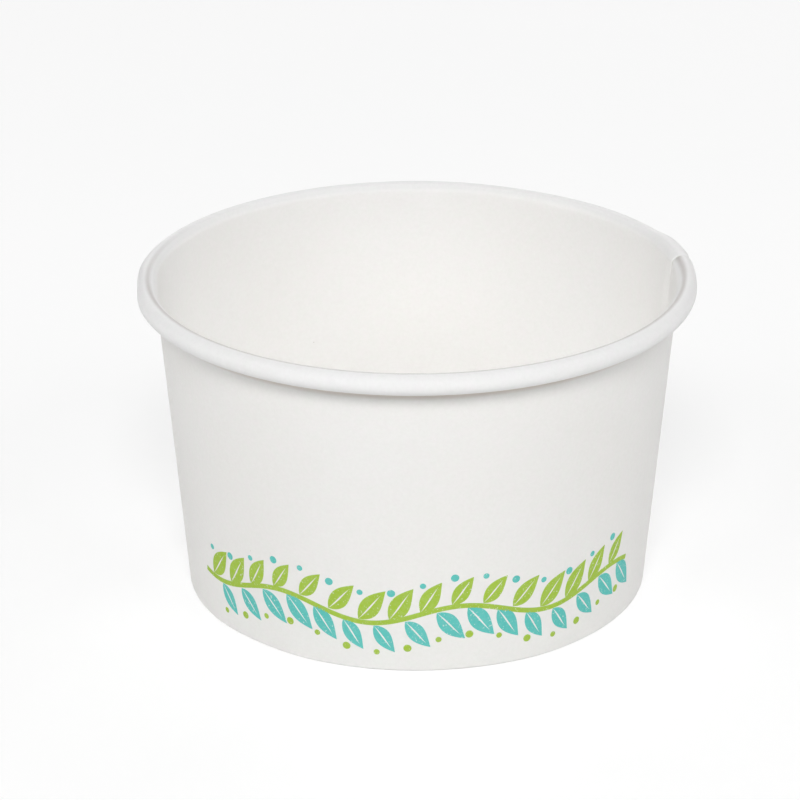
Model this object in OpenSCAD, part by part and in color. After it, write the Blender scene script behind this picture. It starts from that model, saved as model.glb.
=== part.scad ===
// Paper ice cream cup, in millimetres.
// The cup stands on the plane z = 0 and its axis is the Z axis.
// It is two pieces of coated board. The side wall is one blank: it is wrapped into
// a cone with a lapped side seam, its top edge is rolled outward into the rim, and
// its bottom edge is folded inward and up as a hem. The base disc has a skirt bent
// down round its edge, and the fold holds that skirt between the wall and the hem.

/* [Overall size] */
// Outer diameter of the rolled rim
rim_d = 95; // [88:0.5:104]
// Outer diameter of the wall at the plane that the cup stands on
base_d = 79.3; // [72:0.1:82]
// Height of the top of the rim, away from the side seam
cup_h = 55.5; // [40:0.5:80]

/* [Board] */
// Thickness of the side wall's board
board_t = 0.4; // [0.3:0.05:0.45]
// Thickness of the base disc's board
disc_t = 0.35; // [0.25:0.05:0.45]
// Gap left between the skirt and the board on each side of it
glue_gap = 0.02; // [0.01:0.01:0.05]

/* [Rolled rim] */
// Diameter of the roll across its outer skin
roll_d = 3.5; // [3.2:0.1:4.5]
// Angle that the board turns through, from the wall to its cut edge inside the roll
roll_turn = 400; // [370:5:430]
// Gap between the wall and the part of the roll that tucks in beside it
roll_gap = 0.15; // [0.05:0.05:0.2]

/* [Foot] */
// Height of the base disc's underside
recess_h = 7; // [5:0.5:12]
// Distance from the top of the hem up to the base disc's underside
hem_clearance = 1; // [0.8:0.1:2]
// Rounding of the two corners of the bottom fold
fold_r = 0.3; // [0.1:0.05:0.3]
// Outer radius of the bend between the base disc and its skirt
disc_bend_r = 0.7; // [0.5:0.05:1]
// Gap between the skirt's lower edge and the fold under it
skirt_gap = 0.1; // [0.05:0.05:0.5]

/* [Side seam] */
// Direction of the lap's inner edge, in degrees from the X axis
seam_angle = 9; // [0:1:359]
// Width of the lap, where both plies lie on each other
lap_w = 7; // [5:0.5:10]
// Length over which the outer ply climbs from the wall's line onto the inner ply
climb_w = 10.5; // [8:0.5:15]

/* [Hidden] */
$fn = 180;

HALF_TURN = 180;
FULL_TURN = 360;

// Outlines are rounded to this step in millimetres and sector angles to this step in
// degrees, so that the sectors of the wall share the faces that they have in common
LENGTH_STEP = 0.001;
ANGLE_STEP = 0.01;
// Angle by which a ply runs on past the lap's edge, inside the lap
SECTOR_OVERLAP = 0.2;
// Angle between two neighbouring points of a rounded outline
ARC_STEP = 10;
// Least angle between the end of a rounded outline and the point next to it
ARC_END_GAP = 2.5;
// How far a cutting shape runs past what it cuts
CUT_MARGIN = 1;

board_colour = [0.95, 0.95, 0.94];
inside_colour = [0.93, 0.92, 0.9];

// The wall leans outward by the angle at which its inner face runs into the roll
rim_r = rim_d / 2;
base_r = base_d / 2;
roll_r = roll_d / 2;
roll_out = rim_r - roll_r - base_r;
roll_up = cup_h - roll_r;
taper = acos((roll_r - board_t) / norm([roll_out, roll_up])) - atan2(roll_up, roll_out);

// Depths under the wall's outer face, measured square to it
skirt_depth = board_t + glue_gap;
hem_depth = skirt_depth + disc_t + glue_gap;
fold_depth = hem_depth + board_t;

hem_h = recess_h - hem_clearance;
disc_top = recess_h + disc_t;
skirt_foot = board_t + skirt_gap;

// Sectors of the wall, counted from where the outer ply starts to climb
mean_r = (rim_r + base_r) / 2;
climb_angle = stepped(climb_w / mean_r * HALF_TURN / PI, ANGLE_STEP);
lap_angle = stepped(lap_w / mean_r * HALF_TURN / PI, ANGLE_STEP);
climb_run = climb_angle + SECTOR_OVERLAP;
wall_run = FULL_TURN - climb_angle - lap_angle + SECTOR_OVERLAP;

// The climb is turned about an axis set back by this much, so that its larger radius
// carries the ply outward by one thickness of board where it ends in the lap
lapped_r = rim_r + board_t;
climb_shift = stepped((lapped_r ^ 2 - rim_r ^ 2) / 2 / (rim_r - lapped_r * cos(climb_run)), LENGTH_STEP);

function stepped(value, step) = round(value / step) * step;

function stepped_points(points) =
    [for (p = points) [stepped(p.x, LENGTH_STEP), stepped(p.y, LENGTH_STEP)]];

function reversed(points) = [for (i = [len(points) - 1:-1:0]) points[i]];

// Points of an arc in the section: its ends and each whole step between them, so that
// the top and the widest point of the roll are points of the outline
function arc(centre, radius, from, to) =
    let (
        low = min(from, to),
        high = max(from, to),
        steps = [for (a = [ceil(low / ARC_STEP):floor(high / ARC_STEP)]) a * ARC_STEP],
        between = [for (a = steps) if (a > low + ARC_END_GAP && a < high - ARC_END_GAP) a],
        angles = concat([from], from < to ? between : reversed(between), [to])
    )
    [for (a = angles) centre + radius * [cos(a), sin(a)]];

// Point of the section at a depth under the wall's outer face and a height
function flank(depth, z) = [base_r + z * tan(taper) - depth / cos(taper), z];

// A roll of any radius touches the wall's inner face and the level of the roll's foot
function roll_centre(radius) = flank(board_t - radius, cup_h - roll_d + radius);

// One face of the rolled board, at a depth under the roll's skin. The first arc runs
// over the top to the bottom, and a tighter one tucks the edge in beside the wall.
function roll_face(radius, stack, depth) =
    let (
        tuck_r = radius - (stack + roll_gap) / (1 + sin(taper)),
        centre = roll_centre(radius),
        tuck_centre = centre - [0, radius - tuck_r],
        tuck_end = HALF_TURN - taper - roll_turn
    )
    concat(
        arc(centre, radius - depth, HALF_TURN - taper, -90),
        arc(tuck_centre, tuck_r - depth, -90, tuck_end)
    );

// Wall and roll above the fold. The extra board is the lap's outer ply.
function wall_outline(extra) =
    let (
        stack = board_t + extra,
        radius = roll_r + extra / 2
    )
    concat(
        [flank(board_t, board_t)],
        roll_face(radius, stack, 0),
        reversed(roll_face(radius, stack, stack)),
        arc(flank(fold_r - extra, fold_r), fold_r, -taper, -90)
    );

// Hem and the fold's inner corner, from the fold's floor up and round to the table
function hem_outline(extra) =
    concat(
        arc(flank(fold_depth + extra - fold_r, fold_r), fold_r, -90, -HALF_TURN - taper),
        [
            flank(fold_depth + extra, hem_h),
            flank(hem_depth, hem_h),
            flank(hem_depth, board_t)
        ]
    );

module section(points) {
    polygon(stepped_points(points));
}

// One sector of the wall with its roll, fold and hem
module wall_sector(start, angle, extra) {
    rotate_extrude(start = start, angle = angle)
        section(concat(wall_outline(extra), hem_outline(extra)));
}

// The outer ply on its way from the plain wall's line onto the inner ply. Its hem stays
// with the base disc.
module climb_sector() {
    floor_in = flank(fold_depth - fold_r, fold_r).x;
    floor_out = flank(fold_r, fold_r).x;
    intersection() {
        translate([-climb_shift, 0, 0])
            rotate_extrude(start = 0, angle = climb_run)
                translate([climb_shift, 0])
                    section(concat(wall_outline(0), [[floor_in, 0], [floor_in, board_t]]));
        rotate_extrude(start = -climb_run, angle = 2 * climb_run)
            translate([0, -CUT_MARGIN])
                square([rim_d, cup_h + 2 * CUT_MARGIN]);
    }
    rotate_extrude(start = 0, angle = climb_run)
        section(concat(hem_outline(0), [[floor_out, board_t], [floor_out, 0]]));
}

module sidewall() {
    color(board_colour)
        rotate([0, 0, seam_angle - climb_angle]) {
            climb_sector();
            wall_sector(climb_angle, lap_angle, board_t);
            wall_sector(-wall_run, wall_run, 0);
        }
}

module base_disc() {
    bend = flank(skirt_depth + disc_bend_r, disc_top - disc_bend_r);
    color(inside_colour)
        rotate_extrude()
            section(concat(
                [[0, disc_top]],
                arc(bend, disc_bend_r, 90, -taper),
                [
                    flank(skirt_depth, skirt_foot),
                    flank(skirt_depth + disc_t, skirt_foot)
                ],
                arc(bend, disc_bend_r - disc_t, -taper, 90),
                [[0, recess_h]]
            ));
}

sidewall();
base_disc();
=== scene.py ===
import math

import bpy
import numpy as np
from mathutils import Matrix, Vector


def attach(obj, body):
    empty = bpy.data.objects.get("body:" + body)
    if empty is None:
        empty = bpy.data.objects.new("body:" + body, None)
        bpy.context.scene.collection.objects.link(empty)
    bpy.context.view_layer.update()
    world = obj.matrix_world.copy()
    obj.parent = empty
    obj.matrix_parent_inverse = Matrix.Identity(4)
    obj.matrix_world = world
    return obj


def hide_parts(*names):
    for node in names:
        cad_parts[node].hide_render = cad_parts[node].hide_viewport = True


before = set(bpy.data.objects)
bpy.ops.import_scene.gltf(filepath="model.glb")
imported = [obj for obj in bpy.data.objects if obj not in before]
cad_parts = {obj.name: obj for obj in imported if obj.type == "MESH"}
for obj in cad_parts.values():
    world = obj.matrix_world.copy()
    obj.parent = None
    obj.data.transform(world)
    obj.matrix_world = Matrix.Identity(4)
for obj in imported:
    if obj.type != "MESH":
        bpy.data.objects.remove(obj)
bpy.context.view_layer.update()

# Sizes are in metres and angles in degrees. An azimuth is counted from +X towards +Y, and a
# turn is an azimuth that runs on past a full circle.
MM = 0.001
FULL_TURN = 360

# Driving sizes of the cup, the same as in the part's source
RIM_R = 47.5 * MM
BASE_R = 39.65 * MM
CUP_H = 55.5 * MM
BOARD_T = 0.4 * MM
DISC_T = 0.35 * MM
GLUE_GAP = 0.02 * MM
ROLL_R = 1.75 * MM
ROLL_TURN = 400
ROLL_GAP = 0.15 * MM
RECESS_H = 7 * MM
HEM_H = 6 * MM
DISC_BEND_R = 0.7 * MM
SEAM_AZIMUTH = 9
LAP_ANGLE = 9.2
CLIMB_ANGLE = 13.81

# Finer forms of the board than the source has: the bends of the fold at the foot and the
# angle that they stop short of the straight board, the skirt's lower edge, the gap between
# the lapped plies, the turn in which the outer ply slips under the inner one in the roll,
# and the turns past the lap in which the inner ply comes down, in the roll and in the fold
FOLD_BEND_R = 0.25 * MM
FOLD_JOIN_ANGLE = 15
SKIRT_FOOT = 0.9 * MM
PLY_GAP = 0.01 * MM
SLIP_ANGLE = 1.5
ROLL_FADE_ANGLE = 9
FOLD_FADE_ANGLE = 3

# Angles in the roll's section between which its inner shoulder is flattened, and how far
# towards a straight line
SHOULDER_FROM = 174
SHOULDER_TO = 112
SHOULDER_FLATNESS = 0.4

# The inner ply is pressed to a share of its thickness at its cut edge, less so in the roll,
# and that edge is rounded from a share of what is left. The roll dips a little on both
# sides of it.
PRESSED_SHARE = 0.15
PRESSED_ANGLE = 3.5
PRESSED_ROLL_SHARE = 0.5
PRESSED_ROLL_ANGLE = 2.5
ROUNDED_SHARE = 0.25
ROUNDED_ANGLE = 0.35
SEAM_DIP = 0.16 * MM
SEAM_DIP_ANGLE = 6

# How far the board stands outside its true cone at the rim and at the base. Each dent or
# bulge has its azimuth, its reach to both sides and its depth.
RIM_SHIFT = -0.01 * MM
RIM_DENTS = ((45, 24, -0.25 * MM), (64, 24, -0.5 * MM), (184, 13, -0.4 * MM), (8, 14, -0.02 * MM))
BASE_DENTS = ((-133, 18, -0.25 * MM), (-60, 18, 0.15 * MM))

# How finely the meshes are divided: steps along straight board, points of each bend,
# degrees between the points round the roll, and rings of the flat disc
HEM_STEPS = 6
SKIRT_STEPS = 6
WALL_STEPS = 16
FOLD_POINTS = 6
TUCK_POINTS = 14
SHOULDER_STEP = 5
ROLL_STEP = 6
DISC_RINGS = 34
DISC_BEND_POINTS = 9

# Edges that bend by more than this angle are shaded sharp
SHARP_ANGLE = 50

# Columns of points round the cup: the first ones past the inner ply's cut edge, the turn
# past it from which they are evenly spaced, and the degrees between them. A column that
# is nearer to the next than the least step is left out.
EDGE_COLUMNS = (0, 0.04, 0.12, 0.24)
EVEN_COLUMNS_FROM = 0.4
SEAM_COLUMN_STEP = 0.6
WALL_COLUMN_STEP = 1.0
LEAST_COLUMN_STEP = 0.03
DISC_COLUMN_STEP = 1.5

# The disc's innermost ring, and the gap from its outermost flat ring to its bend
DISC_CENTRE_R = 0.2 * MM
DISC_BEND_LEAD = 0.6 * MM

# The printed garland: a waving stem with leaves on both sides and berries between them. The
# ink reaches from a bottom to a top just off the board, and has points across it that are
# at most a step apart.
PRINT_MID_AZIMUTH = -90.5
PRINT_SPAN = 121
PRINT_MID_Z = 10.6 * MM
PRINT_BOTTOM = 0.004 * MM
PRINT_TOP = 0.02 * MM
PRINT_STEP = 0.7 * MM
WAVE_LENGTH = 31 * MM
WAVE_HEIGHT = 1.6 * MM
STEM_WIDTH = 0.9 * MM
STEM_STEP = 0.4 * MM

# Leaves: the first one's place as a share of their spacing, the gap from the stem's middle,
# the lean, the share of the stem's slope that they follow, how much their size varies, and
# the length over which that slope is taken
LEAVES_PER_WAVE = 6
FIRST_LEAF = 0.4
LEAF_START = 0.65 * MM
LEAF_LENGTH = 6.6 * MM
LEAF_WIDTH = 3.1 * MM
LEAF_LEAN = 48
LEAF_FOLLOWS = 0.3
LEAF_VARIES = 0.1
SLOPE_RUN = 0.1 * MM

# A leaf's curl as a share of its length, half its width at its two ends, the power that
# moves its broadest place towards the root, and the bare rib, which ends short of the tip
LEAF_CURL = 0.08
LEAF_END = 0.02 * MM
LEAF_FULLNESS = 0.8
RIB_GAP = 0.28 * MM
RIB_SHORTENING = 1.2
LEAF_POINTS = 15

# Berries: the radius, a small one's share of it, the place from the leaf's root, and the
# angle that is cut off at both ends of a berry's outline
BERRY_R = 0.68 * MM
SMALL_BERRY = 0.75
BERRY_AHEAD = 0.8 * MM
BERRY_OUT = 5.5 * MM
BERRY_POINTS = 15
BERRY_END_ANGLE = 4

# Worked out from the driving sizes: the wall leans outward by the taper, at which its
# inner face runs into the roll
ROLL_FOOT = CUP_H - 2 * ROLL_R
ROLL_OUT = RIM_R - ROLL_R - BASE_R
ROLL_UP = CUP_H - ROLL_R
TAPER = math.acos((ROLL_R - BOARD_T) / math.hypot(ROLL_OUT, ROLL_UP)) - math.atan2(ROLL_UP, ROLL_OUT)
LEAN = math.degrees(TAPER)
SKIRT_DEPTH = BOARD_T + GLUE_GAP
HEM_DEPTH = SKIRT_DEPTH + DISC_T + GLUE_GAP
DISC_TOP = RECESS_H + DISC_T
CLIMB_START = SEAM_AZIMUTH - CLIMB_ANGLE
LAP_END = SEAM_AZIMUTH + LAP_ANGLE

# Colours, as linear values
OUTSIDE_WHITE = (0.833, 0.825, 0.816)
INSIDE_WHITE = (0.912, 0.905, 0.9)
# The roll and the inside of the cup are the same inner face of the board. The difference between their
# colours is painted light: warmer and lighter inside, where light bounces in the cup, and darker and
# cooler on the roll.
ROLL_SHADED_WHITE = (0.828, 0.826, 0.832)
DISC_WHITE = (0.865, 0.855, 0.832)
EDGE_WHITE = (0.84, 0.835, 0.82)
LIME = (0.355, 0.53, 0.046)
TEAL = (0.104, 0.536, 0.494)

# How much of a smooth coating's reflection the matt board and ink have, where 0.5 is all
# of it
MATT_GLOSS = 0.08

# The board's roughness, and how much less and more it is in patches
INSIDE_ROUGHNESS = 0.6
OUTSIDE_ROUGHNESS = 0.55
DISC_ROUGHNESS = 0.45
EDGE_ROUGHNESS = 0.8
ROUGHNESS_LESS = 0.05
ROUGHNESS_MORE = 0.06
ROUGHNESS_PATCH = 1.1 * MM

# The coating's wide warm clouds, its faint mottle between pink and green, and its fine tooth
CLOUD_SIZE = 9 * MM
CLOUD_SHARE = 0.5
CLOUD_TINT = (1.0, 0.993, 0.98)
MOTTLE_SIZE = 0.9 * MM
MOTTLE_PINK = (1.0, 0.99, 0.992)
MOTTLE_GREEN = (0.988, 0.998, 0.984)
TOOTH_SIZE = 0.32 * MM
TOOTH_TINT = (0.972, 0.972, 0.968)
TOOTH_HEIGHT = 0.004 * MM
EDGE_TOOTH_HEIGHT = 0.01 * MM

# Wider unevenness under the tooth, and its height where the tooth's is 1
FIBRE_SIZE = 1.3 * MM
FIBRE_HEIGHT = 0.6

# Fine wrinkles across the roll and along it: the size of their noise, the shares of a length
# along the rim and round the roll that it runs through, and their height where the tooth's
# is 1
WRINKLES = ((0.42 * MM, 1, 0.2, 22), (0.3 * MM, 0.06, 1, 9))

# Dark fibre specks: the spacing of the places for one, the shares of it at which a speck
# begins to fade and ends, the share of the places left empty, and how strongly it shows
SPECK_SPACING = 9 * MM
SPECK_CORE = 0.008
SPECK_END = 0.018
SPECK_EMPTY = 0.72
SPECK_SHARE = 0.35
SPECK_COLOUR = (0.35, 0.32, 0.27)

# Painted shade: a soft dark line along the roll's inner side near the crown, where surfaces
# that lean up and inward are in shade. The angle from the crown that it runs at, its reach to
# both sides, its wider reach at the seam, painted shade of the lap's step, the turn in which
# it widens, and the turns past the seam between which it fades in
CURL_AT = -15
CURL_REACH = 24
CURL_SHADE_TINT = (0.7, 0.675, 0.665)
WEDGE_REACH = 40
WEDGE_ANGLE = 14
CURL_FADE_FROM = 130
CURL_FADE_TO = 190

# Painted shade that makes the roll's inner shoulder a little greyer than the wall below it:
# its tint, and the angles from the crown at which that begins and is full
SHOULDER_SHADE_TINT = (0.925, 0.931, 0.94)
SHOULDER_TINT_FROM = -82
SHOULDER_TINT_TO = -52

# Angle in the roll's section, where 90 is the crown, outward of which the board's inner face
# takes the roll's colour, a darker and cooler copy of the inside's that is painted shade
ROLL_COLOUR_FROM = 108

# Painted shade, dark and warm, in the crease where the roll comes back to the wall: the
# heights at which its tint begins and is full
CREASE_FROM = 50.3 * MM
CREASE_TO = 50.9 * MM
CREASE_SHADE_TINT = (0.86, 0.81, 0.765)

# The ink's thin spots, wide darker clouds and pinholes: their sizes, how strongly they show,
# how far thin ink goes towards the board's white, the share of its colour that a cloud
# keeps, and the values of the noise at which a pinhole begins and is full
THIN_SIZE = 0.35 * MM
THIN_SHARE = 0.55
THIN_WHITENESS = 0.16
INK_CLOUD_SIZE = 2.5 * MM
INK_CLOUD_SHARE = 0.35
INK_CLOUD_KEEPS = 0.9
PINHOLE_SIZE = 0.16 * MM
PINHOLE_SHARE = 0.6
PINHOLE_FROM = 0.66
PINHOLE_TO = 0.74

# The ink's least and greatest roughness and the size of their patches, and its relief
INK_ROUGHNESS = (0.5, 0.62)
INK_ROUGHNESS_PATCH = 0.8 * MM
INK_RELIEF_SIZE = 0.3 * MM
INK_RELIEF_HEIGHT = 0.003 * MM

# The photo's camera: where it stands, what it looks at, its lens and sensor in mm, its tilt
# about the view's axis in radians, and the distances between which it sees
CAMERA_AT = Vector((0, -0.530154, 0.256642))
CAMERA_AIM = Vector((-0.002786, 0, 0.031747))
CAMERA_LENS = 150.70
CAMERA_SENSOR = 36
CAMERA_ROLL = -0.0053
CAMERA_NEAR = 0.01
CAMERA_FAR = 20

# Lamps round the cup, a smaller main one and broad ones: name, azimuth, elevation, width in
# metres and power in watts
LAMP_DISTANCE = 1.2
LAMP_AIM = Vector((0, 0, 0.03))
LAMPS = (
    ("key", -91, 43, 0.34, 7.1),
    ("front_left", -141, 34, 0.6, 3.6),
    ("front_right", -40, 34, 0.6, 3.5),
    ("left", 178, 34, 0.6, 1.5),
    ("right", 2, 34, 0.6, 1.45),
    ("back_left", 138, 36, 0.6, 2.3),
    ("back", 90, 14, 0.6, 3.1),
    ("back_right", 42, 36, 0.6, 3.0),
)

# The floor's grey as it lights the cup and as it is seen, and the glow that it is seen with
FLOOR_SIZE = 8
FLOOR_BOUNCE = (0.92, 0.92, 0.92, 1)
FLOOR_SEEN = (0.45, 0.45, 0.45, 1)
FLOOR_GLOW = 0.56


def eased(x):
    """0 below 0, 1 above 1, with a smooth rise between."""
    x = np.clip(x, 0, 1)
    return x * x * (3 - 2 * x)


def turned_from(centre, angle):
    """Degrees from the centre to the angle, the short way round."""
    return (angle - centre + FULL_TURN / 2) % FULL_TURN - FULL_TURN / 2


def dented(dents, azimuth):
    """The sum of the dents and bulges, each fading smoothly to both sides."""
    return sum(depth * (1 - eased(np.abs(turned_from(at, azimuth)) / reach)) for at, reach, depth in dents)


def out_of_round(azimuth, z):
    """How far the board stands outside its true cone."""
    share = np.clip(z / CUP_H, 0, 1)
    at_rim = RIM_SHIFT + dented(RIM_DENTS, azimuth)
    return share * at_rim + (1 - share) * dented(BASE_DENTS, azimuth)


def along(depth, z):
    """Distance from the axis at a depth under the wall's true outer face."""
    return BASE_R + z * math.tan(TAPER) - depth / math.cos(TAPER)


def placed(azimuth, r, z):
    """Points in space, with the cup's out-of-round added."""
    r = r + out_of_round(azimuth, z)
    a = np.radians(azimuth)
    return np.stack([r * np.cos(a), r * np.sin(a), z], -1)


def arc(centre_r, centre_z, radius, angles):
    """Points of an arc for each column: arrays of columns by angles."""
    a = np.radians(angles)
    return (
        centre_r[:, None] + radius[:, None] * np.cos(a)[None],
        centre_z[:, None] + radius[:, None] * np.sin(a)[None],
    )


def straight(depth, z_from, z_to, steps):
    """Points along a straight line at one depth for each column."""
    share = np.linspace(0, 1, steps + 1)
    z = z_from[:, None] + (z_to - z_from)[:, None] * share[None]
    return along(depth[:, None], z), z


def joined(stretches):
    """One path from stretches of it: its distances from the axis and its heights."""
    return tuple(np.concatenate(part, 1) for part in zip(*stretches))


def flattened(angles):
    """The roll's radius as a share of a true circle's. Its inner shoulder is straighter
    and ends in a tighter bend below the crown."""
    middle = (SHOULDER_FROM + SHOULDER_TO) / 2
    half_angle = (SHOULDER_FROM - SHOULDER_TO) / 2
    on = (angles > SHOULDER_TO) & (angles < SHOULDER_FROM)
    from_middle = np.radians(np.where(on, angles - middle, half_angle))
    chord = math.cos(math.radians(half_angle)) / np.cos(from_middle)
    share = SHOULDER_FLATNESS * eased((SHOULDER_FROM - angles) / half_angle)
    return 1 + (chord - 1) * share


def wall_path(turn):
    """The wall board's middle line for each column. It runs from the hem's top, down and
    round the fold, up the wall, over the roll and in beside the wall."""
    # Shares from 0 to 1: the outer ply's climb onto the inner one and its slip under it in
    # the roll, and how far the inner ply is raised over it in the roll and in the fold
    climb = np.clip((turn - CLIMB_START - FULL_TURN) / CLIMB_ANGLE, 0, 1) ** 2
    under = eased((turn - SEAM_AZIMUTH - FULL_TURN) / SLIP_ANGLE)
    over = 1 - eased((turn - LAP_END) / ROLL_FADE_ANGLE)
    raised = 1 - eased((turn - LAP_END) / FOLD_FADE_ANGLE)

    half = BOARD_T / 2
    wall_depth = half - (BOARD_T + PLY_GAP) * climb
    hem_depth = HEM_DEPTH + half + (BOARD_T + PLY_GAP) * climb
    bend = np.full_like(turn, FOLD_BEND_R)
    bend_z = half + BOARD_T * raised + bend

    radius = ROLL_R + half * over - (half + PLY_GAP) * under
    centre_z = ROLL_FOOT + ROLL_R + half * (over + under)
    centre_r = along(wall_depth + half - radius, centre_z)
    wall_top = centre_z + (radius - half) * math.sin(TAPER)
    tuck_r = radius - (BOARD_T * (1 + over) + ROLL_GAP) / (1 + math.sin(TAPER)) - half * under
    tuck_z = centre_z - radius + tuck_r
    from_edge = np.abs(turned_from(SEAM_AZIMUTH, turn))
    dip = SEAM_DIP * (1 - np.clip(from_edge / SEAM_DIP_ANGLE, 0, 1)) ** 2

    shoulder = np.arange(180 - LEAN - SHOULDER_STEP, 90, -SHOULDER_STEP)
    over_roll = np.concatenate([shoulder, np.arange(90, -90, -ROLL_STEP)])
    a = np.radians(over_roll)
    reach = (radius - half)[:, None] * flattened(over_roll)[None]
    roll_r = centre_r[:, None] + reach * np.cos(a)
    roll_z = centre_z[:, None] + reach * np.sin(a) - dip[:, None] * eased(np.sin(a))

    hem_bend = np.linspace(FOLD_JOIN_ANGLE, 90, FOLD_POINTS)
    wall_bend = np.linspace(-90, -FOLD_JOIN_ANGLE, FOLD_POINTS)
    return joined([
        straight(hem_depth, np.full_like(turn, HEM_H), bend_z, HEM_STEPS),
        arc(along(hem_depth - bend, bend_z), bend_z, -bend, hem_bend),
        arc(along(wall_depth + bend, bend_z), bend_z, bend, wall_bend),
        straight(wall_depth, bend_z, wall_top, WALL_STEPS),
        (roll_r, roll_z),
        arc(centre_r, tuck_z, tuck_r - half, np.linspace(-90, 180 - LEAN - ROLL_TURN, TUCK_POINTS)),
    ])


def disc_path(turn):
    """The disc's middle line for each column, from its centre out, round its bend and down
    its skirt."""
    half = DISC_T / 2
    ones = np.ones_like(turn)
    bend_z = (DISC_TOP - DISC_BEND_R) * ones
    bend_r = along(SKIRT_DEPTH + DISC_BEND_R, bend_z)
    flat_r = ones[:, None] * np.linspace(DISC_CENTRE_R, bend_r[0] - DISC_BEND_LEAD, DISC_RINGS)[None]
    skirt_r, skirt_z = straight((SKIRT_DEPTH + half) * ones, bend_z, SKIRT_FOOT * ones, SKIRT_STEPS)
    return joined([
        (flat_r, np.full_like(flat_r, DISC_TOP - half)),
        arc(bend_r, bend_z, (DISC_BEND_R - half) * ones, np.linspace(90, -LEAN, DISC_BEND_POINTS)[:-1]),
        (skirt_r[:, 1:], skirt_z[:, 1:]),
    ])


def thickened(r, z, thickness):
    """Both faces of a board with this middle line: the left and the right of its path."""
    dr, dz = np.gradient(r, axis=1), np.gradient(z, axis=1)
    length = np.hypot(dr, dz)
    nr, nz = -dz / length * thickness / 2, dr / length * thickness / 2
    return (r + nr, z + nz), (r - nr, z - nz)


def pressed(turn, left, right):
    """The left face moved towards the right one beside the inner ply's cut edge."""
    past_edge = turn - SEAM_AZIMUTH
    wall = PRESSED_SHARE + (1 - PRESSED_SHARE) * eased(past_edge / PRESSED_ANGLE)
    roll = PRESSED_ROLL_SHARE + (1 - PRESSED_ROLL_SHARE) * eased(past_edge / PRESSED_ROLL_ANGLE)
    high = eased((left[1] - ROLL_FOOT) / (2 * ROLL_R))
    low = 1 - eased((left[1] - BOARD_T) / RECESS_H)
    share = wall[:, None] * (1 - high) + roll[:, None] * high
    share = share * (1 - low) + low
    rounding = np.sqrt(1 - (1 - np.clip(past_edge / ROUNDED_ANGLE, 0, 1)) ** 2)
    share = share * (ROUNDED_SHARE + (1 - ROUNDED_SHARE) * rounding[:, None])
    return right[0] + (left[0] - right[0]) * share, right[1] + (left[1] - right[1]) * share


def mesh_piece(name, points, faces, slots, materials):
    """An object of these points and faces, smooth apart from its sharp edges."""
    mesh = bpy.data.meshes.new(name)
    mesh.from_pydata(points.tolist(), [], faces)
    for material in materials:
        mesh.materials.append(material)
    mesh.polygons.foreach_set("material_index", np.array(slots, dtype=np.int32))
    mesh.validate()
    mesh.shade_smooth()
    mesh.set_sharp_from_angle(angle=math.radians(SHARP_ANGLE))
    piece = bpy.data.objects.new(name, mesh)
    bpy.context.scene.collection.objects.link(piece)
    return piece


def board_mesh(name, left, right, closed, materials, crown_row=None):
    """A closed mesh between two faces, each an array of columns by rows of points. The
    faces take the first two materials and the cut edges the third. The left face takes the
    fourth from the crown's row on. A closed ring has its first row filled in."""
    columns, rows = left.shape[:2]
    points = np.concatenate([left.reshape(-1, 3), right.reshape(-1, 3)])
    number = np.arange(columns * rows).reshape(columns, rows)
    other = number + columns * rows
    if closed:
        number = np.concatenate([number, number[:1]])
        other = np.concatenate([other, other[:1]])
    faces, slots = [], []

    def add(a, b, c, d, slot):
        quads = np.stack([d, c, b, a], -1)
        slots.extend((np.zeros(quads.shape[:-1], int) + slot).ravel().tolist())
        faces.extend(quads.reshape(-1, 4).tolist())

    left_slots = np.zeros(rows - 1, int)
    if crown_row:
        left_slots[crown_row:] = 3
    add(number[:-1, :-1], number[1:, :-1], number[1:, 1:], number[:-1, 1:], left_slots)
    add(other[:-1, :-1], other[:-1, 1:], other[1:, 1:], other[1:, :-1], 1)
    add(number[:-1, -1], number[1:, -1], other[1:, -1], other[:-1, -1], 2)
    if closed:
        faces += [number[:-1, 0].tolist(), other[-2::-1, 0].tolist()]
        slots += [0, 1]
    else:
        add(number[:-1, 0], other[:-1, 0], other[1:, 0], number[1:, 0], 2)
        add(number[0, :-1], number[0, 1:], other[0, 1:], other[0, :-1], 2)
        add(number[-1, :-1], other[-1, :-1], other[-1, 1:], number[-1, 1:], 2)
    return mesh_piece(name, points, faces, slots, materials)


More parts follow.
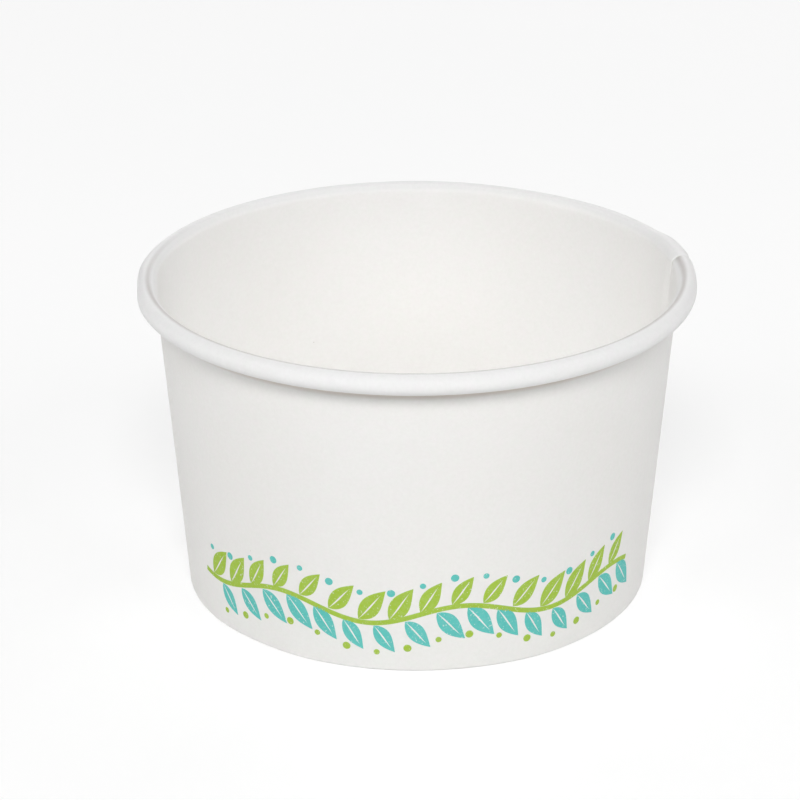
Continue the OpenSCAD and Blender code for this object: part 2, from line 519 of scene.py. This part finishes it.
class Nodes:
    """A short way to write a material's nodes."""

    def __init__(self, name):
        self.material = bpy.data.materials.new(name)
        self.material.use_nodes = True
        self.tree = self.material.node_tree
        self.shader = self.tree.nodes["Principled BSDF"]
        self.coordinates = self.add("ShaderNodeTexCoord").outputs["Object"]

    def add(self, kind, inputs=None, **settings):
        """A new node with these settings and inputs."""
        node = self.tree.nodes.new(kind)
        for key, value in settings.items():
            setattr(node, key, value)
        for key, value in (inputs or {}).items():
            self.put(node.inputs[key], value)
        return node

    def put(self, socket, value):
        """A socket linked to another one, or set to a plain value."""
        if isinstance(value, bpy.types.NodeSocket):
            self.tree.links.new(value, socket)
        else:
            socket.default_value = value

    def noise(self, size, detail=2, roughness=0.5, at=None):
        """Noise from 0 to 1 whose lumps are about this size."""
        inputs = {
            "Vector": at or self.coordinates,
            "Scale": 0.5 / size,
            "Detail": detail,
            "Roughness": roughness,
        }
        return self.add("ShaderNodeTexNoise", inputs).outputs["Fac"]

    def spread(self, value, low, high, start=0.3, end=0.7, kind="LINEAR"):
        """A value mapped from start..end to low..high. The preset ends suit noise."""
        inputs = {"Value": value, "From Min": start, "From Max": end, "To Min": low, "To Max": high}
        return self.add("ShaderNodeMapRange", inputs, interpolation_type=kind).outputs["Result"]

    def math(self, operation, a, b=0.0):
        """A calculation on one or two values."""
        return self.add("ShaderNodeMath", {0: a, 1: b}, operation=operation).outputs[0]

    def mix(self, share, a, b, blend="MIX"):
        """Two colours mixed."""
        node = self.add("ShaderNodeMix", {"Factor": share}, data_type="RGBA", blend_type=blend)
        for socket, value in zip(node.inputs[6:8], (a, b)):
            self.put(socket, value if isinstance(value, bpy.types.NodeSocket) else (*value, 1))
        return node.outputs[2]

    def tint(self, share, base, tint):
        """A colour with a share of a tint multiplied into it."""
        return self.mix(share, base, self.mix(1.0, base, tint, "MULTIPLY"))

    def axis(self, name):
        """One coordinate of the shaded point."""
        return self.add("ShaderNodeSeparateXYZ", {"Vector": self.coordinates}).outputs[name]

    def turn(self):
        """Degrees round the cup from the seam."""
        azimuth = self.math("DEGREES", self.math("ARCTAN2", self.axis("Y"), self.axis("X")))
        return self.math("FLOORED_MODULO", self.math("SUBTRACT", azimuth, SEAM_AZIMUTH), FULL_TURN)

    def roll_angle(self):
        """Degrees round the roll's section from its crown, negative towards the axis."""
        squares = [self.math("MULTIPLY", self.axis(a), self.axis(a)) for a in "XY"]
        outward = self.math("SUBTRACT", self.math("SQRT", self.math("ADD", *squares)), RIM_R - ROLL_R)
        upward = self.math("SUBTRACT", self.axis("Z"), ROLL_UP)
        return self.math("DEGREES", self.math("ARCTAN2", outward, upward))

    def roll_grid(self, round_rim, round_roll):
        """Coordinates along the rim and round the roll, each times a share, so that noise
        on them is drawn out one way."""
        along_rim = self.math("MULTIPLY", self.turn(), math.radians(RIM_R) * round_rim)
        along_roll = self.math("MULTIPLY", self.roll_angle(), math.radians(ROLL_R) * round_roll)
        return self.add("ShaderNodeCombineXYZ", {"X": along_rim, "Y": along_roll}).outputs[0]

    def finish(self, base, roughness, relief, height):
        """The material with this colour, roughness and relief, and the matt gloss."""
        self.put(self.shader.inputs["Base Color"], base)
        self.put(self.shader.inputs["Roughness"], roughness)
        bump = self.add("ShaderNodeBump", {"Height": relief, "Strength": 1.0, "Distance": height})
        self.put(self.shader.inputs["Normal"], bump.outputs["Normal"])
        self.shader.inputs["Specular IOR Level"].default_value = MATT_GLOSS
        return self.material


def painted_shoulder_shade(n, base):
    """Painted shade that greys the inner shoulder of the roll."""
    share = n.spread(n.roll_angle(), 0, 1, SHOULDER_TINT_FROM, SHOULDER_TINT_TO)
    return n.tint(share, base, SHOULDER_SHADE_TINT)


def painted_curl_shade(n, base):
    """Painted shade: a soft dark line along the roll near its crown, wider at the seam."""
    away = n.math("ABSOLUTE", n.math("SUBTRACT", n.roll_angle(), CURL_AT))
    reach = n.spread(n.turn(), CURL_REACH, WEDGE_REACH, FULL_TURN - WEDGE_ANGLE, FULL_TURN)
    line = n.spread(n.math("DIVIDE", away, reach), 1, 0, 0, 1, "SMOOTHSTEP")
    shown = n.spread(n.turn(), 0, 1, CURL_FADE_FROM, CURL_FADE_TO, "SMOOTHSTEP")
    return n.tint(n.math("MULTIPLY", line, shown), base, CURL_SHADE_TINT)


def painted_crease_shade(n, base):
    """Painted shade in the crease under the roll."""
    return n.tint(n.spread(n.axis("Z"), 0, 1, CREASE_FROM, CREASE_TO), base, CREASE_SHADE_TINT)


def speck_mark(n, base):
    """A few dark fibre specks."""
    inputs = {"Vector": n.coordinates, "Scale": 1 / SPECK_SPACING, "Randomness": 1.0}
    cells = n.add("ShaderNodeTexVoronoi", inputs)
    near = n.spread(cells.outputs["Distance"], 1, 0, SPECK_CORE, SPECK_END)
    chance = n.add("ShaderNodeSeparateXYZ", {"Vector": cells.outputs["Color"]}).outputs["X"]
    chosen = n.math("GREATER_THAN", chance, SPECK_EMPTY)
    share = n.math("MULTIPLY", n.math("MULTIPLY", near, chosen), SPECK_SHARE)
    return n.mix(share, base, SPECK_COLOUR)


def wrinkles(n):
    """The height of the roll's fine wrinkles, across it and along it."""
    across, lengthwise = [
        n.math("MULTIPLY", n.noise(size, at=n.roll_grid(round_rim, round_roll)), height)
        for size, round_rim, round_roll, height in WRINKLES
    ]
    return n.math("ADD", across, lengthwise)


def board_material(name, colour, roughness, marks=(), tooth=TOOTH_HEIGHT, wrinkled=False):
    """Coated paperboard with a cloudy tint, a faint mottle and a fine tooth, and with the
    painted shades and specks given for this face. It may have the roll's wrinkles."""
    n = Nodes(name)
    warm = n.mix(n.spread(n.noise(CLOUD_SIZE), 0, CLOUD_SHARE), (1, 1, 1), CLOUD_TINT)
    mottle = n.mix(n.spread(n.noise(MOTTLE_SIZE, detail=3), 0, 1), MOTTLE_PINK, MOTTLE_GREEN)
    base = n.mix(1.0, colour, n.mix(1.0, warm, mottle, "MULTIPLY"), "MULTIPLY")
    fine = n.noise(TOOTH_SIZE, detail=3, roughness=0.6)
    base = n.tint(n.spread(fine, 0, 1), base, TOOTH_TINT)
    for mark in marks:
        base = mark(n, base)
    patches = n.spread(n.noise(ROUGHNESS_PATCH), roughness - ROUGHNESS_LESS, roughness + ROUGHNESS_MORE)
    relief = n.math("ADD", n.math("MULTIPLY", n.noise(FIBRE_SIZE), FIBRE_HEIGHT), fine)
    if wrinkled:
        relief = n.math("ADD", relief, wrinkles(n))
    return n.finish(base, patches, relief, tooth)


def ink_material(name, colour):
    """Printing ink, a little uneven, with the board's white showing in pinholes."""
    n = Nodes(name)
    thin = [c + (white - c) * THIN_WHITENESS for c, white in zip(colour, OUTSIDE_WHITE)]
    dark = [c * INK_CLOUD_KEEPS for c in colour]
    base = n.mix(n.spread(n.noise(THIN_SIZE, detail=3, roughness=0.65), 0, THIN_SHARE), colour, thin)
    base = n.mix(n.spread(n.noise(INK_CLOUD_SIZE), 0, INK_CLOUD_SHARE), base, dark)
    pinholes = n.spread(n.noise(PINHOLE_SIZE, detail=1), 0, PINHOLE_SHARE, PINHOLE_FROM, PINHOLE_TO)
    base = n.mix(pinholes, base, OUTSIDE_WHITE)
    roughness = n.spread(n.noise(INK_ROUGHNESS_PATCH), *INK_ROUGHNESS)
    return n.finish(base, roughness, n.noise(INK_RELIEF_SIZE), INK_RELIEF_HEIGHT)


def make_camera():
    """The camera that took the photo."""
    forward = (CAMERA_AIM - CAMERA_AT).normalized()
    right = forward.cross(Vector((0, 0, 1))).normalized()
    up = right.cross(forward)
    turned_right = math.cos(CAMERA_ROLL) * right + math.sin(CAMERA_ROLL) * up
    turned_up = math.cos(CAMERA_ROLL) * up - math.sin(CAMERA_ROLL) * right
    data = bpy.data.cameras.new("camera")
    data.lens = CAMERA_LENS
    data.sensor_width = CAMERA_SENSOR
    data.clip_start = CAMERA_NEAR
    data.clip_end = CAMERA_FAR
    camera = bpy.data.objects.new("camera", data)
    bpy.context.scene.collection.objects.link(camera)
    turn = Matrix((turned_right, turned_up, -forward)).transposed().to_4x4()
    camera.matrix_world = Matrix.Translation(CAMERA_AT) @ turn
    bpy.context.scene.camera = camera


def seen_directly(tree):
    """A value that is 1 for rays that show a surface or backdrop, and 0 for its light."""
    path = tree.nodes.new("ShaderNodeLightPath")
    seen = path.outputs["Is Camera Ray"]
    for name in ("Is Glossy Ray", "Is Transmission Ray"):
        most = tree.nodes.new("ShaderNodeMath")
        most.operation = "MAXIMUM"
        tree.links.new(seen, most.inputs[0])
        tree.links.new(path.outputs[name], most.inputs[1])
        seen = most.outputs[0]
    return seen


def make_world():
    """A backdrop that shows white and gives no light."""
    world = bpy.data.worlds.new("studio")
    bpy.context.scene.world = world
    world.use_nodes = True
    tree = world.node_tree
    background = tree.nodes["Background"]
    background.inputs["Color"].default_value = (1, 1, 1, 1)
    tree.links.new(seen_directly(tree), background.inputs["Strength"])


def make_floor():
    """A pale floor. Seen directly it glows a little, so that it shows nearly white but
    keeps the cup's shadow."""
    bpy.ops.mesh.primitive_plane_add(size=FLOOR_SIZE)
    floor = bpy.context.object
    floor.name = "floor"
    material = bpy.data.materials.new("floor_paper")
    material.use_nodes = True
    tree = material.node_tree
    tree.nodes.clear()
    seen = seen_directly(tree)
    colour = tree.nodes.new("ShaderNodeMix")
    colour.data_type = "RGBA"
    tree.links.new(seen, colour.inputs["Factor"])
    colour.inputs[6].default_value = FLOOR_BOUNCE
    colour.inputs[7].default_value = FLOOR_SEEN
    diffuse = tree.nodes.new("ShaderNodeBsdfDiffuse")
    tree.links.new(colour.outputs[2], diffuse.inputs["Color"])
    glow = tree.nodes.new("ShaderNodeEmission")
    strength = tree.nodes.new("ShaderNodeMath")
    strength.operation = "MULTIPLY"
    tree.links.new(seen, strength.inputs[0])
    strength.inputs[1].default_value = FLOOR_GLOW
    tree.links.new(strength.outputs[0], glow.inputs["Strength"])
    both = tree.nodes.new("ShaderNodeAddShader")
    tree.links.new(diffuse.outputs[0], both.inputs[0])
    tree.links.new(glow.outputs[0], both.inputs[1])
    output = tree.nodes.new("ShaderNodeOutputMaterial")
    tree.links.new(both.outputs[0], output.inputs["Surface"])
    floor.data.materials.append(material)


def make_lamp(name, azimuth, elevation, width, power):
    """A square soft lamp that looks at the cup from a direction."""
    a, e = math.radians(azimuth), math.radians(elevation)
    data = bpy.data.lights.new(name, "AREA")
    data.shape = "SQUARE"
    data.size = width
    data.energy = power
    lamp = bpy.data.objects.new(name, data)
    direction = Vector((math.cos(a) * math.cos(e), math.sin(a) * math.cos(e), math.sin(e)))
    lamp.location = LAMP_AIM + LAMP_DISTANCE * direction
    lamp.rotation_mode = "QUATERNION"
    lamp.rotation_quaternion = direction.to_track_quat("Z", "Y")
    bpy.context.scene.collection.objects.link(lamp)


def make_sidewall():
    """The wrapped blank, from its cut edge inside the lap round to the one outside."""
    end = LAP_END + FULL_TURN
    climb_from = CLIMB_START + FULL_TURN
    plain_from = LAP_END + ROLL_FADE_ANGLE
    turn = np.concatenate([
        SEAM_AZIMUTH + np.array(EDGE_COLUMNS),
        np.arange(SEAM_AZIMUTH + EVEN_COLUMNS_FROM, plain_from, SEAM_COLUMN_STEP),
        np.arange(plain_from, climb_from, WALL_COLUMN_STEP),
        np.arange(climb_from, end, SEAM_COLUMN_STEP),
        [end],
    ])
    turn = turn[np.append(np.diff(turn) > LEAST_COLUMN_STEP, True)]
    left, right = thickened(*wall_path(turn), BOARD_T)
    left = pressed(turn, left, right)
    # The last column's first row that lies outward of the angle where the roll's colour starts
    crown_r = RIM_R - ROLL_R + ROLL_R * math.cos(math.radians(ROLL_COLOUR_FROM))
    crown_row = int(np.argmax((left[1][-1] > ROLL_UP) & (left[0][-1] > crown_r)))
    inside_shades_and_specks = (painted_shoulder_shade, painted_curl_shade, speck_mark)
    materials = [
        board_material("inside_board", INSIDE_WHITE, INSIDE_ROUGHNESS, inside_shades_and_specks),
        board_material("outside_board", OUTSIDE_WHITE, OUTSIDE_ROUGHNESS, (painted_crease_shade, speck_mark)),
        board_material("cut_edge", EDGE_WHITE, EDGE_ROUGHNESS, tooth=EDGE_TOOTH_HEIGHT),
        # The roll's colour on the board's inner face, a painted shaded copy of the inside's
        board_material("roll_board_shaded", ROLL_SHADED_WHITE, INSIDE_ROUGHNESS, (painted_curl_shade, speck_mark), wrinkled=True),
    ]
    faces = placed(turn[:, None], *left), placed(turn[:, None], *right)
    wall = board_mesh("sidewall_board", *faces, False, materials, crown_row)
    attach(wall, "root")
    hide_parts("sidewall")


def make_disc():
    """The base disc with its skirt."""
    turn = np.arange(0, FULL_TURN, DISC_COLUMN_STEP)
    left, right = thickened(*disc_path(turn), DISC_T)
    board = board_material("disc_board", DISC_WHITE, DISC_ROUGHNESS, (speck_mark,))
    edge = bpy.data.materials["cut_edge"]
    faces = placed(turn[:, None], *left), placed(turn[:, None], *right)
    disc = board_mesh("base_disc_board", *faces, True, [board, board, edge])
    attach(disc, "root")
    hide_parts("base_disc")


def on_wall(flat, lift):
    """Points lifted off the wall's outer face, from lengths along it and heights."""
    azimuth = PRINT_MID_AZIMUTH + np.degrees(flat[..., 0] / along(0, PRINT_MID_Z))
    z = flat[..., 1]
    return placed(azimuth, along(-lift, z), z)


class Ink:
    """Gathers thin closed strips of one ink."""

    def __init__(self):
        self.points, self.faces, self.count = [], [], 0

    def strip(self, side_a, side_b):
        """A strip between two lines, each an array of stations by flat coordinates."""
        widest = np.linalg.norm(side_b - side_a, axis=1).max()
        across = np.linspace(0, 1, max(2, math.ceil(widest / PRINT_STEP) + 1))
        flat = side_a[:, None] + (side_b - side_a)[:, None] * across[None, :, None]
        rows, columns = flat.shape[:2]
        t = self.count + np.arange(rows * columns).reshape(rows, columns)
        b = t + rows * columns
        rim = np.concatenate([t[0, :-1], t[:-1, -1], t[-1, :0:-1], t[:0:-1, 0]])
        foot = rim + rows * columns
        self.faces += [
            np.stack([t[:-1, :-1], t[:-1, 1:], t[1:, 1:], t[1:, :-1]], -1).reshape(-1, 4),
            np.stack([b[:-1, :-1], b[1:, :-1], b[1:, 1:], b[:-1, 1:]], -1).reshape(-1, 4),
            np.stack([rim, foot, np.roll(foot, -1), np.roll(rim, -1)], -1),
        ]
        self.points += [on_wall(flat, lift).reshape(-1, 3) for lift in (PRINT_TOP, PRINT_BOTTOM)]
        self.count += 2 * rows * columns

    def leaf(self, start, angle, length, width, curl):
        """A pointed leaf in two halves with a bare rib between them."""
        t = np.linspace(0, 1, LEAF_POINTS)[:, None]
        ahead = np.array([math.cos(angle), math.sin(angle)])
        aside = np.array([-ahead[1], ahead[0]])
        middle = start + ahead * length * t + aside * curl * length * np.sin(math.pi * t / 2) ** 2
        outline = width / 2 * np.sin(math.pi * t ** LEAF_FULLNESS) + LEAF_END
        rib = RIB_GAP / 2 * np.sin(math.pi * np.clip(t * RIB_SHORTENING, 0, 1)) * (outline > RIB_GAP)
        self.strip(middle + aside * outline, middle + aside * rib)
        self.strip(middle - aside * rib, middle - aside * outline)

    def line(self, points, width):
        """A line of even width."""
        along_it = np.gradient(points, axis=0)
        along_it /= np.linalg.norm(along_it, axis=1)[:, None]
        aside = np.stack([-along_it[:, 1], along_it[:, 0]], 1) * width / 2
        self.strip(points + aside, points - aside)

    def dot(self, centre, radius):
        """A round dot, a little blunt at its two ends."""
        a = np.radians(np.linspace(BERRY_END_ANGLE, 180 - BERRY_END_ANGLE, BERRY_POINTS))
        upper = centre + radius * np.stack([-np.cos(a), np.sin(a)], 1)
        lower = centre + radius * np.stack([-np.cos(a), -np.sin(a)], 1)
        self.strip(upper, lower)

    def make(self, name, material):
        """One piece of all the strips."""
        faces = np.concatenate(self.faces).tolist()
        piece = mesh_piece(name, np.concatenate(self.points), faces, [0] * len(faces), [material])
        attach(piece, "root")


def wave(x):
    """The garland's wave from -1 to 1, at a length along the wall."""
    return np.sin(2 * math.pi * x / WAVE_LENGTH)


def stem_point(x):
    """A point of the stem, at a length along the wall."""
    return np.stack([x, PRINT_MID_Z + WAVE_HEIGHT * wave(x)], -1)


def make_print():
    """A garland of leaves in the two inks, where the cup carries its print."""
    lime, teal = Ink(), Ink()
    reach = along(0, PRINT_MID_Z) * math.radians(PRINT_SPAN) / 2
    lime.line(stem_point(np.arange(-reach, reach, STEM_STEP)), STEM_WIDTH)
    gap = WAVE_LENGTH / LEAVES_PER_WAVE
    for i in range(int(2 * reach / gap)):
        x = -reach + (i + FIRST_LEAF) * gap
        run, rise = stem_point(x + SLOPE_RUN) - stem_point(x)
        slope = math.atan2(rise, run)
        # A leaf above the stem in one ink, and half a spacing on, one below it in the other
        for side, root_x, ink, other in ((1, x, lime, teal), (-1, x + gap / 2, teal, lime)):
            root = stem_point(root_x)
            size = 1 - LEAF_VARIES * side * wave(root_x)
            angle = slope * LEAF_FOLLOWS + side * math.radians(LEAF_LEAN)
            start = root + LEAF_START * np.array([math.cos(angle), math.sin(angle)])
            ink.leaf(start, angle, LEAF_LENGTH * size, LEAF_WIDTH * size, LEAF_CURL * side)
            berry = root + np.array([BERRY_AHEAD, side * BERRY_OUT])
            other.dot(berry, BERRY_R * (1 if i % 2 else SMALL_BERRY))
    lime.make("print_lime", ink_material("lime_ink", LIME))
    teal.make("print_teal", ink_material("teal_ink", TEAL))


bpy.context.scene.view_settings.view_transform = "Standard"
make_camera()
make_world()
make_floor()
for lamp in LAMPS:
    make_lamp(*lamp)
make_sidewall()
make_print()
make_disc()
